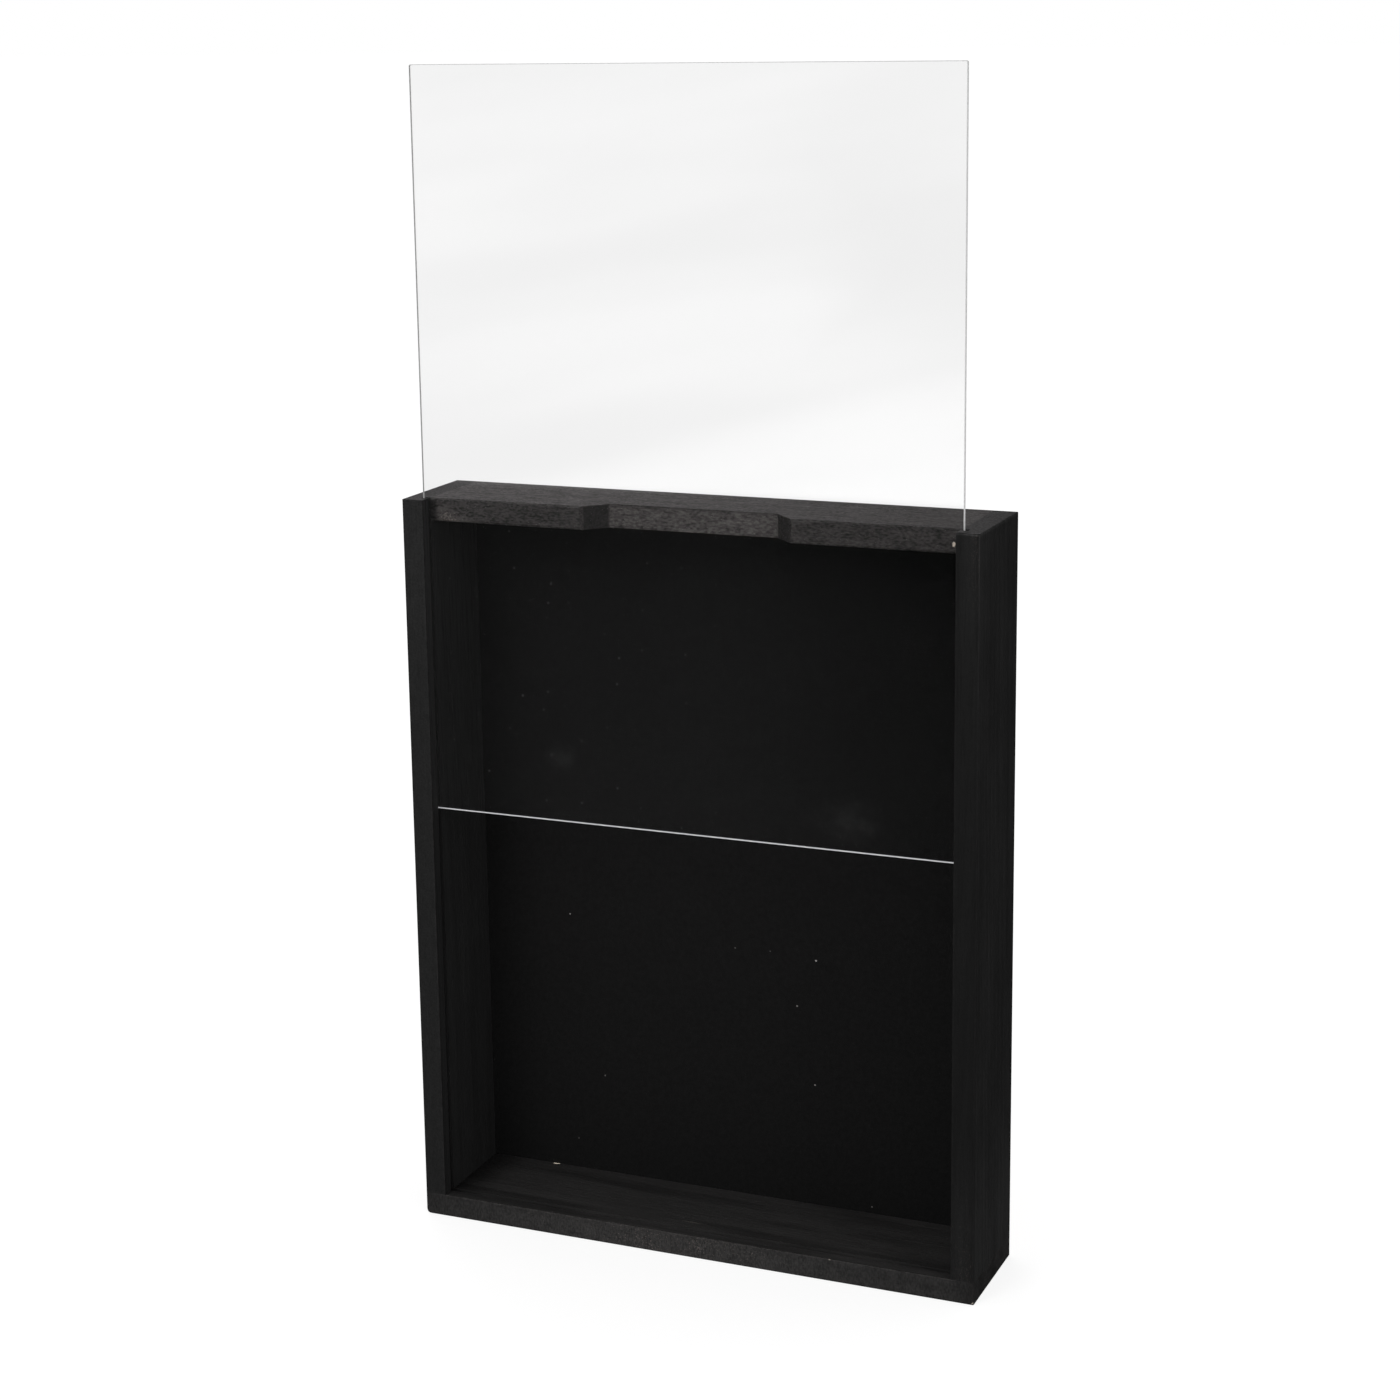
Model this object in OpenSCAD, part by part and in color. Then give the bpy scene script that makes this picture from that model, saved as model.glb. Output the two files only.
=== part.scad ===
// Upright wooden display case with a felt-lined back and a clear pane that slides up in grooves.
// Millimetres. The origin is the middle of the underside, +Y points to the back and +Z up.

/* [Case] */
// Width over the side boards
case_w = 305; // [240:1:420]
// Height from the underside to the top
case_h = 388; // [280:1:520]
// Depth from front to back, without the hangers
case_d = 63; // [48:1:120]
// Thickness of the four boards
board_t = 12; // [11:0.5:18]

/* [Eased edges] */
// Radius of the upright front edges
front_edge_r = 2; // [0.5:0.25:3]
// Radius of the upright rear edges
rear_edge_r = 1; // [0.5:0.25:2]
// Radius of the upper corners, seen from the front
top_corner_r = 0.75; // [0.5:0.25:4]
// Radius of the lower left corner, which is worn rounder
left_foot_r = 4; // [0.5:0.25:6]
// Radius of the lower right corner
right_foot_r = 0.75; // [0.5:0.25:6]
// Radius of the level edges at the top and the underside
level_edge_r = 1; // [0.5:0.25:2]
// Radius of the top board's front edge
top_front_edge_r = 1.25; // [0.5:0.25:3]

/* [Pane grooves] */
// Wood left in front of the groove
lip = 6.5; // [4:0.5:10]
// Width of the groove
groove_w = 3.5; // [3:0.25:5]
// Depth of the groove in the side and bottom boards
groove_depth = 4; // [3:0.25:5]

/* [Pane] */
// Thickness of the pane
pane_t = 2; // [1.5:0.25:2.5]
// Play at the left groove's floor
pane_left_gap = 0.75; // [0.3:0.05:1.5]
// Play at the right groove's floor
pane_right_gap = 2.25; // [0.3:0.05:2.5]
// Play under the shut pane
pane_seat_gap = 0.3; // [0.2:0.05:1]
// How far the shut pane stays below the top of the case
pane_top_gap = 0.2; // [0:0.1:3]
// Radius of the pane's corners
pane_corner_r = 1; // [0.5:0.25:3]
// How far the pane is raised from shut
pane_lift = 216.2; // [0:0.1:260]

/* [Finger notch] */
// Width at the back of the notch
notch_w = 89; // [40:1:140]
// Depth of the notch, and of each of its splayed ends
notch_depth = 11.5; // [6:0.5:20]
// Shift of the notch from the middle, to the right
notch_shift = -1; // [-20:0.5:20]
// Radius of the two corners where the notch meets the front edge
notch_corner_r = 2; // [1:0.5:6]

/* [Back] */
// Thickness of the back panel
panel_t = 2; // [1.5:0.25:4]
// Thickness of the felt
felt_t = 0.5; // [0.3:0.1:1.5]
// Width of the rebate that takes the panel
rebate_w = 4; // [3:0.25:5]
// Play around the panel
panel_gap = 0.5; // [0.2:0.1:1]

/* [Corner brads] */
// Diameter of a brad
brad_d = 1.4; // [1:0.1:2]
// Length of a brad
brad_l = 30; // [24:1:36]
// Diameter of a brad's head
brad_head_d = 2.2; // [1.5:0.1:3]
// Thickness of a brad's head
brad_head_t = 0.8; // [0.5:0.1:1.5]
// Filler over a sunk head
brad_sunk = 1; // [0.5:0.1:2]
// Brads in each corner joint
brads_each = 3; // [2:1:4]

/* [Staples] */
// Width of a staple over its legs
staple_w = 10; // [8:0.5:13]
// Length of a staple's legs
staple_l = 10; // [8:0.5:14]
// Breadth of the flat wire
staple_wire_w = 1.2; // [0.8:0.1:1.5]
// Thickness of the flat wire
staple_wire_t = 0.6; // [0.4:0.1:0.8]
// Staples up each side of the panel
staples_up = 4; // [3:1:6]

/* [Hangers] */
// Length of a hanger
hanger_l = 44; // [38:1:50]
// Height of a hanger
hanger_h = 9; // [8:0.5:11]
// Thickness of the hanger's sheet
hanger_t = 0.8; // [0.5:0.1:1.2]
// How far the middle of the hanger stands out
hanger_rise = 1.4; // [1:0.1:2.5]
// Flat foot at each end of the hanger
hanger_foot = 8; // [7:0.5:10]
// Length of the slope from the foot to the middle
hanger_slope = 3; // [2:0.5:4]
// Radius of the hanger's corners
hanger_corner_r = 2; // [0.5:0.25:2.5]
// Distance from the hanger's upper edge to its nails
hanger_hole_drop = 3; // [2.5:0.25:4]
// Distance from tooth to tooth
tooth_pitch = 2.4; // [1.5:0.1:3]
// Height of a tooth
tooth_h = 1.4; // [0.8:0.1:2]
// Diameter of a hanger nail
nail_d = 1.3; // [1:0.1:1.6]
// Length of a hanger nail under its head
nail_l = 12; // [8:1:16]
// Diameter of a nail's head
nail_head_d = 3.2; // [2.5:0.1:4]
// Thickness of a nail's head
nail_head_t = 0.7; // [0.4:0.1:1]

/* [Fits] */
// Play around a driven brad, nail or staple leg
drive_gap = 0.05; // [0.02:0.01:0.1]
// Play around a nail in the hanger's hole
hole_gap = 0.15; // [0.05:0.05:0.3]

/* [Hidden] */
$fn = 48;
// Cuts run this far past the face that they open on
past = 1;
// Share of a driven shank's diameter that its point is long
point_share = 2;
// Staples across the top and across the bottom, with a hanger over each gap between them
staples_across = 3;
inner_w = case_w - 2 * board_t;
front = -case_d / 2;
rear = case_d / 2;
groove_y = front + lip;
top_front = groove_y + groove_w;
groove_floor = inner_w / 2 + groove_depth;
shut_z = board_t - groove_depth + pane_seat_gap;
pane_w = 2 * groove_floor - pane_left_gap - pane_right_gap;
pane_h = case_h - pane_top_gap - shut_z;
pane_x = (pane_left_gap - pane_right_gap) / 2;
pane_y = groove_y + groove_w / 2;
pocket_d = panel_t + felt_t;
pocket_w = inner_w + 2 * rebate_w;
pocket_h = case_h - 2 * (board_t - rebate_w);
// Middle of the ledge that the staples are driven into, and of the strip of wood behind the top board
ledge = inner_w / 2 + rebate_w / 2;
strip_z = case_h - (board_t - rebate_w) / 2;
brad_x = case_w / 2 - board_t / 2;
brad_pitch = (rear - pocket_d - top_front) / (brads_each + 0.5);
staple_pitch_x = pocket_w / staples_across;
staple_pitch_z = pocket_h / staples_up;
hanger_x = staple_pitch_x / 2;
hanger_top = strip_z + hanger_hole_drop;
hanger_hole_x = hanger_l / 2 - hanger_foot / 2;

// A rectangle about the origin with its corners rounded, from lower left round to upper left
module eased_rect(w, h, radii) {
    signs = [[-1, -1], [1, -1], [1, 1], [-1, 1]];
    difference() {
        square([w, h], center = true);
        for (i = [0 : 3])
            translate([signs[i][0] * w / 2, signs[i][1] * h / 2])
                difference() {
                    square(2 * radii[i], center = true);
                    translate([-signs[i][0] * radii[i], -signs[i][1] * radii[i]])
                        circle(radii[i]);
                }
    }
}

// Stands a drawing up so that it faces the front, and gives it a depth about y = 0
module facing_front(depth) {
    rotate([90, 0, 0])
        linear_extrude(depth, center = true)
            children();
}

// Stands a drawing up so that it is seen from the right, and gives it a width about x = 0
module facing_side(width) {
    rotate([90, 0, 90])
        linear_extrude(width, center = true)
            children();
}

// The whole outside of the case with its eased edges, which every board is cut from
module case_block() {
    intersection() {
        linear_extrude(case_h)
            eased_rect(case_w, case_d, [front_edge_r, front_edge_r, rear_edge_r, rear_edge_r]);
        facing_front(case_d)
            translate([0, case_h / 2])
                eased_rect(case_w, case_h, [left_foot_r, right_foot_r, top_corner_r, top_corner_r]);
        facing_side(case_w)
            translate([0, case_h / 2])
                eased_rect(case_d, case_h, [level_edge_r, level_edge_r, level_edge_r, level_edge_r]);
    }
}

// The space that the pane runs in, open at the top
module pane_slot() {
    translate([-groove_floor, groove_y, board_t - groove_depth])
        cube([2 * groove_floor, groove_w, case_h]);
}

// The rebate for the back panel and its felt, open at the rear
module back_pocket() {
    translate([-pocket_w / 2, rear - pocket_d, board_t - rebate_w])
        cube([pocket_w, pocket_d + past, pocket_h]);
}

// A driven shank with its point down and the top of its head at z = 0
module shank(d, l, head_d, head_t) {
    point = point_share * d;
    translate([0, 0, -head_t])
        cylinder(d = head_d, h = head_t);
    translate([0, 0, point - l])
        cylinder(d = d, h = l - point);
    translate([0, 0, -l])
        cylinder(d1 = 0, d2 = d, h = point);
}

// The hole that takes a driven shank
module shank_hole(d, l, head_d, head_t) {
    translate([0, 0, -head_t - drive_gap])
        cylinder(d = head_d + 2 * drive_gap, h = head_t + 2 * drive_gap);
    translate([0, 0, -l - drive_gap])
        cylinder(d = d + 2 * drive_gap, h = l);
}

// Places its children at each brad along one corner joint
module along_joint() {
    for (i = [0 : brads_each - 1])
        translate([0, top_front + (i + 1) * brad_pitch, 0])
            children();
}

// Places its children at the sunk heads of the brads through the side boards into the top board
module at_top_brads() {
    for (side = [-1, 1])
        translate([side * (case_w / 2 - brad_sunk), 0, case_h - board_t / 2])
            along_joint()
                rotate([0, side * 90, 0])
                    children();
}

// Places its children at the sunk heads of the brads through the bottom board into the side boards
module at_bottom_brads() {
    for (side = [-1, 1])
        translate([side * brad_x, 0, brad_sunk])
            along_joint()
                rotate([180, 0, 0])
                    children();
}

// Places its children at the middle of each staple on the panel's rear face, crown along the edge
module at_staples() {
    for (side = [-1, 1]) {
        for (i = [0 : staples_up - 1])
            translate([side * ledge, rear, board_t - rebate_w + (i + 0.5) * staple_pitch_z])
                rotate([0, 90, 0])
                    children();
        for (i = [0 : staples_across - 1])
            translate([
                (i + 0.5) * staple_pitch_x - pocket_w / 2, rear,
                case_h / 2 + side * (pocket_h / 2 - rebate_w / 2),
            ])
                children();
    }
}

// One staple, with its crown along x on the face at y = 0 and its legs towards the front
module staple() {
    translate([-staple_w / 2, 0, -staple_wire_w / 2])
        cube([staple_w, staple_wire_t, staple_wire_w]);
    for (side = [-1, 1])
        translate([side * (staple_w - staple_wire_t) / 2 - staple_wire_t / 2, -staple_l, -staple_wire_w / 2])
            cube([staple_wire_t, staple_l, staple_wire_w]);
}

// The two slits that take a staple's legs
module staple_slits() {
    for (side = [-1, 1])
        translate([
            side * (staple_w - staple_wire_t) / 2 - staple_wire_t / 2 - drive_gap,
            -staple_l - drive_gap,
            -staple_wire_w / 2 - drive_gap,
        ])
            cube([staple_wire_t + 2 * drive_gap, staple_l + past, staple_wire_w + 2 * drive_gap]);
}

// Places its children at the seat of each nail head on a hanger's feet
module at_hanger_nails() {
    for (side = [-1, 1])
        for (end = [-1, 1])
            translate([side * hanger_x + end * hanger_hole_x, rear + hanger_t, strip_z])
                rotate([-90, 0, 0])
                    children();
}

// A side board standing on the bottom board, on the right for side = 1
module side_board(side) {
    difference() {
        intersection() {
            case_block();
            translate([side * brad_x - board_t / 2, front, board_t])
                cube([board_t, case_d, case_h]);
        }
        pane_slot();
        back_pocket();
        at_top_brads()
            shank_hole(brad_d, brad_l, brad_head_d, brad_head_t);
        at_bottom_brads()
            shank_hole(brad_d, brad_l, brad_head_d, brad_head_t);
        at_staples()
            staple_slits();
    }
}

module left_side_board() {
    color("#24211f")
        side_board(-1);
}

module right_side_board() {
    color("#24211f")
        side_board(1);
}

// Plan of the top board, with the splayed finger notch in its front edge
module top_board_plan() {
    half = notch_w / 2;
    mouth = half + notch_depth;
    // The corner's arc runs from the front edge to the 45 degree splay
    setback = notch_corner_r * tan(22.5);
    difference() {
        translate([-inner_w / 2, top_front])
            square([inner_w, rear - top_front]);
        translate([notch_shift, top_front]) {
            polygon([[-mouth, 0], [-half, notch_depth], [half, notch_depth], [mouth, 0]]);
            for (side = [-1, 1])
                difference() {
                    polygon([
                        [side * (mouth + setback), -past],
                        [side * (mouth + setback), 0],
                        [side * (mouth - setback * cos(45)), setback * sin(45)],
                        [side * (mouth - setback - past), -past],
                    ]);
                    translate([side * (mouth + setback), notch_corner_r])
                        circle(notch_corner_r);
                }
        }
    }
}

module top_board() {
    top_d = rear - top_front;
    radii = [level_edge_r, level_edge_r, level_edge_r, top_front_edge_r];
    color("#2a2623")
        difference() {
            intersection() {
                linear_extrude(case_h)
                    top_board_plan();
                facing_side(inner_w)
                    translate([(top_front + rear) / 2, case_h - board_t / 2])
                        eased_rect(top_d, board_t, radii);
            }
            back_pocket();
            at_top_brads()
                shank_hole(brad_d, brad_l, brad_head_d, brad_head_t);
            at_staples()
                staple_slits();
            at_hanger_nails()
                shank_hole(nail_d, nail_l, nail_d, nail_head_t);
        }
}

module bottom_board() {
    color("#2a2623")
        difference() {
            intersection() {
                case_block();
                translate([-case_w / 2, front, 0])
                    cube([case_w, case_d, board_t]);
            }
            pane_slot();
            back_pocket();
            at_bottom_brads()
                shank_hole(brad_d, brad_l, brad_head_d, brad_head_t);
            at_staples()
                staple_slits();
        }
}

// A sheet that fills the rear rebate, less its play, between two depths from the rear
module rebate_sheet(from, to) {
    difference() {
        translate([panel_gap - pocket_w / 2, rear - to, board_t - rebate_w + panel_gap])
            cube([pocket_w - 2 * panel_gap, to - from, pocket_h - 2 * panel_gap]);
        at_staples()
            staple_slits();
    }
}

module back_panel() {
    color("#6b4a2f")
        rebate_sheet(0, panel_t);
}

module felt_lining() {
    color("#101010")
        rebate_sheet(panel_t, pocket_d);
}

// The pane, raised from shut by pane_lift
module sliding_pane() {
    color("#e8eef2", 0.35)
        translate([pane_x, pane_y, shut_z + pane_lift + pane_h / 2])
            facing_front(pane_t)
                eased_rect(pane_w, pane_h, [pane_corner_r, pane_corner_r, pane_corner_r, pane_corner_r]);
}

module top_brads() {
    color("#9a9a98")
        at_top_brads()
            shank(brad_d, brad_l, brad_head_d, brad_head_t);
}

module bottom_brads() {
    color("#9a9a98")
        at_bottom_brads()
            shank(brad_d, brad_l, brad_head_d, brad_head_t);
}

module back_staples() {
    color("#b4b2ac")
        at_staples()
            staple();
}

// Plan of a hanger's bent sheet, with its feet on the wood at y = 0
module hanger_plan() {
    foot = hanger_l / 2 - hanger_foot;
    crest = foot - hanger_slope;
    polygon([
        [-hanger_l / 2, 0], [-foot, 0], [-crest, hanger_rise], [crest, hanger_rise], [foot, 0],
        [hanger_l / 2, 0], [hanger_l / 2, hanger_t], [foot, hanger_t], [crest, hanger_rise + hanger_t],
        [-crest, hanger_rise + hanger_t], [-foot, hanger_t], [-hanger_l / 2, hanger_t],
    ]);
}

// Face of a hanger from its lower edge at y = 0 up, with teeth along the raised stretch
module hanger_face() {
    span = hanger_l - 2 * (hanger_foot + hanger_slope);
    teeth = floor(span / tooth_pitch);
    radii = [hanger_corner_r, hanger_corner_r, hanger_corner_r, hanger_corner_r];
    difference() {
        translate([0, hanger_h / 2])
            eased_rect(hanger_l, hanger_h, radii);
        for (i = [0 : teeth - 1])
            translate([(i - (teeth - 1) / 2) * tooth_pitch, 0])
                polygon([[-tooth_pitch / 2, -past / 2], [-tooth_pitch / 2, 0], [0, tooth_h],
                    [tooth_pitch / 2, 0], [tooth_pitch / 2, -past / 2]]);
    }
}

// A sawtooth hanger behind the top board, on the right for side = 1
module hanger(side) {
    color("#a8a49a")
        difference() {
            translate([side * hanger_x, rear, hanger_top - hanger_h])
                intersection() {
                    linear_extrude(hanger_h)
                        hanger_plan();
                    facing_front(2 * (hanger_rise + hanger_t))
                        hanger_face();
                }
            at_hanger_nails()
                cylinder(d = nail_d + 2 * hole_gap, h = 4 * hanger_t, center = true);
        }
}

module left_hanger() {
    hanger(-1);
}

module right_hanger() {
    hanger(1);
}

module hanger_nails() {
    color("#b4b2ac")
        at_hanger_nails()
            translate([0, 0, nail_head_t])
                shank(nail_d, nail_l + nail_head_t, nail_head_d, nail_head_t);
}

left_side_board();
right_side_board();
top_board();
bottom_board();
back_panel();
felt_lining();
sliding_pane();
top_brads();
bottom_brads();
back_staples();
left_hanger();
right_hanger();
hanger_nails();
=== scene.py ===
"""Looks of an upright black wooden display case with a felt back and a clear pane that slides up.

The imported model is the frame. Its boards, back panel and fixings keep their shapes and get procedural
finishes, and the felt and the pane are modelled here in the place of their solids. Units are metres.
"""

import logging
import math
from dataclasses import dataclass
from enum import Enum
from typing import Any, ClassVar, Sequence, Union

import bmesh
import bpy
from mathutils import Euler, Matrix, Quaternion, Vector, noise


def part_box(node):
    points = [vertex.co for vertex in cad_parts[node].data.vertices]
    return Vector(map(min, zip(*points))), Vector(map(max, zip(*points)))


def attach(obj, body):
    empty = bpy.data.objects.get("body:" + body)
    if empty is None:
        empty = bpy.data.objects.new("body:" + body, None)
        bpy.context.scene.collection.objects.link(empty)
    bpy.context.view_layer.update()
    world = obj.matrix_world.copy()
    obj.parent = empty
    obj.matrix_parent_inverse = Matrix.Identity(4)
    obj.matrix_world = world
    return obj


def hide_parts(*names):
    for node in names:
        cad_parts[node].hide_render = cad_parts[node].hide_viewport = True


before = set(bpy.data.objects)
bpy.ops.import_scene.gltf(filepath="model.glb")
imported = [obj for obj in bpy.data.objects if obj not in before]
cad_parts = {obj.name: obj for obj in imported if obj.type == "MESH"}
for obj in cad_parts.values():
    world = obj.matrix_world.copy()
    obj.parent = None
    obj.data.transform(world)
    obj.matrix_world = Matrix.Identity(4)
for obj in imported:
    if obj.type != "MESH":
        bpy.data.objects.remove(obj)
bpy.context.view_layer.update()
LOG = logging.getLogger("display_case")

MM = 0.001

Pair = tuple[float, float]
Triple = tuple[float, float, float]
Colour = tuple[float, float, float, float]
Socket = bpy.types.NodeSocket
Sockets = dict[str, Socket]
Value = Union[Socket, float, Sequence[float]]

MIDWAY: Pair = (0.3, 0.7)


def millimetres(x: float, y: float, z: float) -> Triple:
    """Gives a point or a size in metres, from millimetres."""
    return (x * MM, y * MM, z * MM)


def grey(level: float, warmth: float = 0.0) -> Colour:
    """Gives an opaque linear colour: its warmth raises red by a share, and lowers blue by a third of it."""
    return (level * (1 + warmth), level, level * (1 - warmth / 3), 1.0)


class Graph:
    """Adds nodes to one node tree, with short calls for the kinds that the finishes use."""

    def __init__(self, tree: bpy.types.NodeTree) -> None:
        """Starts on a tree and removes the nodes that it came with."""
        self.tree = tree
        tree.nodes.clear()

    def feed(self, socket: Socket, value: Value) -> None:
        """Links a socket to an input, or sets the input's own value."""
        if isinstance(value, Socket):
            self.tree.links.new(value, socket)
        else:
            socket.default_value = value

    def node(self, kind: str, inputs: dict[Any, Value] | None = None, **settings: Any) -> bpy.types.Node:
        """Adds one node.

        Args:
            kind: The node's type, without the word ShaderNode that most begin with.
            inputs: A value or a socket for each input that is set, by its name or number.
            settings: The node's own choices, such as its operation.

        Returns:
            The new node.
        """
        made = self.tree.nodes.new(kind if kind.startswith("NodeGroup") else "ShaderNode" + kind)
        for name, setting in settings.items():
            setattr(made, name, setting)
        for key, value in (inputs or {}).items():
            self.feed(made.inputs[key], value)
        return made

    def place(self) -> Socket:
        """Gives the place on the piece, in the frame's metres."""
        return self.node("TexCoord").outputs["Object"]

    def math(self, operation: str, first: Value, second: Value = 0.0) -> Socket:
        """Gives the result of one sum on one or two numbers."""
        return self.node("Math", {0: first, 1: second}, operation=operation).outputs[0]

    def times(self, value: Value, share: Value) -> Socket:
        """Gives a share of a number, or the product of two numbers."""
        return self.math("MULTIPLY", value, share)

    def plus(self, base: Value, extra: Value, share: Value) -> Socket:
        """Adds a share of one number to another."""
        return self.math("ADD", base, self.times(extra, share))

    def vector(self, operation: str, first: Value, second: Value) -> Socket:
        """Gives the vector that one sum on two vectors makes."""
        return self.node("VectorMath", {0: first, 1: second}, operation=operation).outputs["Vector"]

    def length(self, vector: Value) -> Socket:
        """Gives the length of a vector."""
        return self.node("VectorMath", {0: vector}, operation="LENGTH").outputs["Value"]

    def axes(self, vector: Value) -> list[Socket]:
        """Gives the three numbers of a vector."""
        return list(self.node("SeparateXYZ", {0: vector}).outputs)

    def noise(self, vector: Value, scale: float = 1.0, detail: float = 2.0) -> bpy.types.Node:
        """Adds a noise texture, with a number at output 0 and a colour at output 1."""
        return self.node("TexNoise", {"Vector": vector, "Scale": scale, "Detail": detail})

    def drawn(self, vector: Value, stretch: Triple, detail: float) -> Socket:
        """Gives the numbers of a noise with a scale of its own along each axis."""
        return self.noise(self.vector("MULTIPLY", vector, stretch), detail=detail).outputs[0]

    def blotches(self, vector: Value, scale: float, levels: Pair = MIDWAY, detail: float = 4.0) -> Socket:
        """Gives soft blotches, by a noise that is cut off between two levels."""
        return self.step(self.noise(vector, scale, detail).outputs[0], *levels)

    def step(self, value: Value, low: Value, high: Value) -> Socket:
        """Rises smoothly from 0 to 1 as a value goes from low to high, or falls where low is the greater."""
        inputs = {"Value": value, "From Min": low, "From Max": high}
        return self.node("MapRange", inputs, interpolation_type="SMOOTHSTEP").outputs[0]

    def spread(self, value: Value, low: float, high: float) -> Socket:
        """Lays a value from 0 to 1 out between two numbers."""
        return self.node("MapRange", {"Value": value, "To Min": low, "To Max": high}).outputs[0]

    def mix(self, share: Value, first: Value, second: Value, blend: str = "MIX") -> Socket:
        """Mixes two colours, by the share of the second one."""
        inputs = {0: share, 6: first, 7: second}
        return self.node("Mix", inputs, data_type="RGBA", blend_type=blend).outputs[2]

    def bump(self, height: Value, depth: float, strength: float) -> Socket:
        """Gives the normal of a surface with a relief, by the real depth that a height of 1 stands for."""
        relief = {"Height": height, "Distance": depth, "Strength": strength}
        return self.node("Bump", relief).outputs["Normal"]

    def principled(self, inputs: dict[str, Value]) -> Socket:
        """Gives the shader of one surface, from its inputs by name."""
        return self.node("BsdfPrincipled", inputs).outputs[0]


class Effect:
    """A shader node group that is built once and then placed in any material with its own values."""

    name: ClassVar[str]
    takes: ClassVar[dict[str, str]]
    gives: ClassVar[tuple[str, ...]] = ("Mask",)

    @classmethod
    def shape(cls, graph: Graph, given: Sockets) -> Sockets:
        """Adds the nodes to the group's own tree, and gives the socket for each of its outputs by name."""
        raise NotImplementedError

    @classmethod
    def tree(cls) -> bpy.types.NodeTree:
        """Gives the group's node tree, which the first call builds."""
        made = bpy.data.node_groups.get(cls.name)
        if made is not None:
            return made
        made = bpy.data.node_groups.new(cls.name, "ShaderNodeTree")
        for name, kind in cls.takes.items():
            made.interface.new_socket(name, in_out="INPUT", socket_type="NodeSocket" + kind)
        for name in cls.gives:
            made.interface.new_socket(name, in_out="OUTPUT", socket_type="NodeSocketFloat")
        graph = Graph(made)
        start = graph.node("NodeGroupInput")
        given = {name: start.outputs[name] for name in cls.takes}
        graph.node("NodeGroupOutput", cls.shape(graph, given))
        return made

    @classmethod
    def add(cls, graph: Graph, **values: Value) -> Sockets:
        """Places the group in a material.

        Args:
            graph: The material's tree.
            values: A value or a socket for each input, by its name in lower case.

        Returns:
            The group's outputs by name.
        """
        made = graph.node("Group", node_tree=cls.tree())
        for name in cls.takes:
            graph.feed(made.inputs[name], values[name.lower().replace(" ", "_")])
        return {name: made.outputs[name] for name in cls.gives}


class WoodGrain(Effect):
    """Growth rings round the X axis, with fibres, streaks, waves and pores drawn out along it."""

    name = "wood_grain"
    takes = {"Vector": "Vector", "Ring Pitch": "Float"}
    gives = ("Rings", "Fibre", "Streaks", "Waves", "Pores")

    WANDER = 14 * MM
    SLOW = (4.0, 20.0, 20.0)
    LATE_WOOD = (0.3, 0.88)
    RING_END = (1.0, 0.9)
    # For each kind of line: the scale of its noise along and across, the noise's detail and the levels.
    LINES = {
        "Fibre": ((12.0, 520.0, 520.0), 4.0, (0.28, 0.72)),
        "Streaks": ((38.0, 820.0, 820.0), 3.0, (0.48, 0.68)),
        "Waves": ((9.0, 95.0, 95.0), 3.0, (0.46, 0.66)),
        "Pores": ((110.0, 1700.0, 1700.0), 1.0, (0.58, 0.7)),
    }

    @classmethod
    def shape(cls, graph: Graph, given: Sockets) -> Sockets:
        """Adds the rings, which wander, and the lines."""
        along = given["Vector"]
        slow = graph.noise(graph.vector("MULTIPLY", along, cls.SLOW)).outputs[1]
        swing = graph.vector("MULTIPLY", graph.vector("SUBTRACT", slow, (0.5,) * 3), (cls.WANDER,) * 3)
        across = graph.vector("MULTIPLY", graph.vector("ADD", along, swing), (0.0, 1.0, 1.0))
        phase = graph.math("FRACT", graph.math("DIVIDE", graph.length(across), given["Ring Pitch"]))
        late = graph.step(phase, *cls.LATE_WOOD)
        made = {"Rings": graph.times(late, graph.step(phase, *cls.RING_END))}
        for name, (stretch, detail, levels) in cls.LINES.items():
            made[name] = graph.step(graph.drawn(along, stretch, detail), *levels)
        return made


class EdgeWear(Effect):
    """A broken line of wear along the edges of a box, worked out from its centre and half its size."""

    name = "edge_wear"
    takes = {"Vector": "Vector", "Centre": "Vector", "Half Size": "Vector", "Width": "Float"}

    GRIT_SCALE = 260.0

    @classmethod
    def shape(cls, graph: Graph, given: Sockets) -> Sockets:
        """Takes the middle one of the three depths below the box's faces, which is 0 on an edge."""
        offset = graph.vector("SUBTRACT", given["Vector"], given["Centre"])
        outward = graph.node("VectorMath", {0: offset}, operation="ABSOLUTE").outputs[0]
        x, y, z = graph.axes(graph.vector("SUBTRACT", given["Half Size"], outward))
        less = graph.math("MINIMUM", x, y)
        more = graph.math("MAXIMUM", x, y)
        middle = graph.math("MAXIMUM", less, graph.math("MINIMUM", more, z))
        ragged = graph.times(graph.blotches(given["Vector"], cls.GRIT_SCALE), given["Width"])
        return {"Mask": graph.step(middle, ragged, 0.0)}


class Speckle(Effect):
    """Scattered specks of one size."""

    name = "speckle"
    takes = {"Vector": "Vector", "Scale": "Float", "Cover": "Float", "Softness": "Float"}

    DETAIL = 1.5
    BARE_LEVEL = 0.82
    COVER_FALL = 0.34

    @classmethod
    def shape(cls, graph: Graph, given: Sockets) -> Sockets:
        """Cuts a noise off at a level that falls as the cover rises."""
        grain = graph.noise(given["Vector"], detail=cls.DETAIL)
        graph.feed(grain.inputs["Scale"], given["Scale"])
        level = graph.math("SUBTRACT", cls.BARE_LEVEL, graph.times(given["Cover"], cls.COVER_FALL))
        return {"Mask": graph.step(grain.outputs[0], level, graph.math("ADD", level, given["Softness"]))}


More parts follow.
